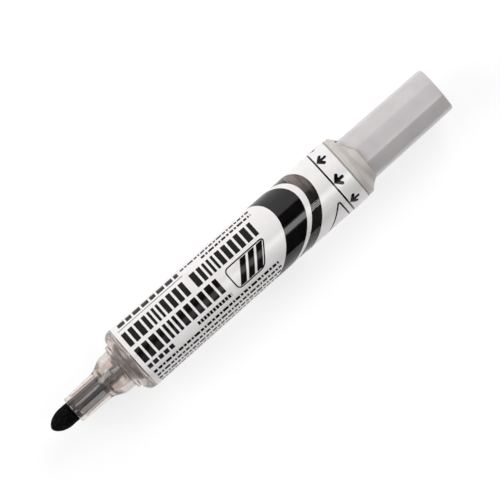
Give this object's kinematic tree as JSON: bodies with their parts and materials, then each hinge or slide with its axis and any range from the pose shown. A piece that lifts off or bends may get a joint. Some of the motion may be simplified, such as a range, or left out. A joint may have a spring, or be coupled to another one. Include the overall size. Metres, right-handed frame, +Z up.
{
  "type": "whiteboard marker",
  "caption": "Uncapped pump-action whiteboard marker: clear nose with bullet nib, labelled ink barrel, collar and sliding press button at the rear.",
  "frame": {"origin": "on the resting plane, under the middle of the marker's box", "axes": "+X along the marker towards the press button, nib at -X, +Z up with the label's main print facing up"},
  "size_m": [0.1256, 0.018, 0.0179],
  "materials": {
    "nib_fibre": "dense black ink-soaked fibre",
    "clear_plastic": "slightly cloudy clear moulded plastic",
    "white_plastic": "natural white moulded plastic",
    "translucent_plastic": "milky translucent moulded plastic",
    "button_plastic": "pale grey satin moulded plastic",
    "label_film": "white printed film with black print",
    "black_rubber": "black seal rubber",
    "spring_steel": "bright drawn wire"
  },
  "bodies": {
    "barrel_body": {"barrel": "clear_plastic", "label": "label_film", "nib_holder": "clear_plastic", "nib": "nib_fibre", "nib_stop_ring": "clear_plastic", "feed_wick": "nib_fibre", "valve_body": "clear_plastic", "valve_seat": "black_rubber", "valve_retainer": "white_plastic", "valve_spring": "spring_steel", "nose_seal_ring": "black_rubber", "rear_plug": "translucent_plastic", "plug_seal_ring": "black_rubber", "pump_cylinder": "white_plastic", "cylinder_lock_ring": "white_plastic", "duckbill_valve": "black_rubber", "duckbill_cage": "white_plastic", "rod_guide_bush": "white_plastic", "return_spring": "spring_steel"},
    "button_body": {"button": "button_plastic", "piston_rod": "white_plastic", "piston_cup_seal": "black_rubber"},
    "poppet_body": {"valve_poppet": "white_plastic"}
  },
  "joints": [
    {"name": "button_press", "type": "slide", "parent": "barrel_body", "child": "button_body", "axis": [-1, 0, 0], "range_m": [0, 0.005], "stiffness_N_per_m": 900, "springref_m": -0.003, "deforming": ["return_spring"]},
    {"name": "valve_lift", "type": "slide", "parent": "barrel_body", "child": "poppet_body", "axis": [-1, 0, 0], "range_m": [0, 0.0008], "deforming": ["valve_spring"]}
  ],
  "couplings": [
    {"joint": "valve_lift", "follows": "button_press", "ratio": 0.16}
  ]
}
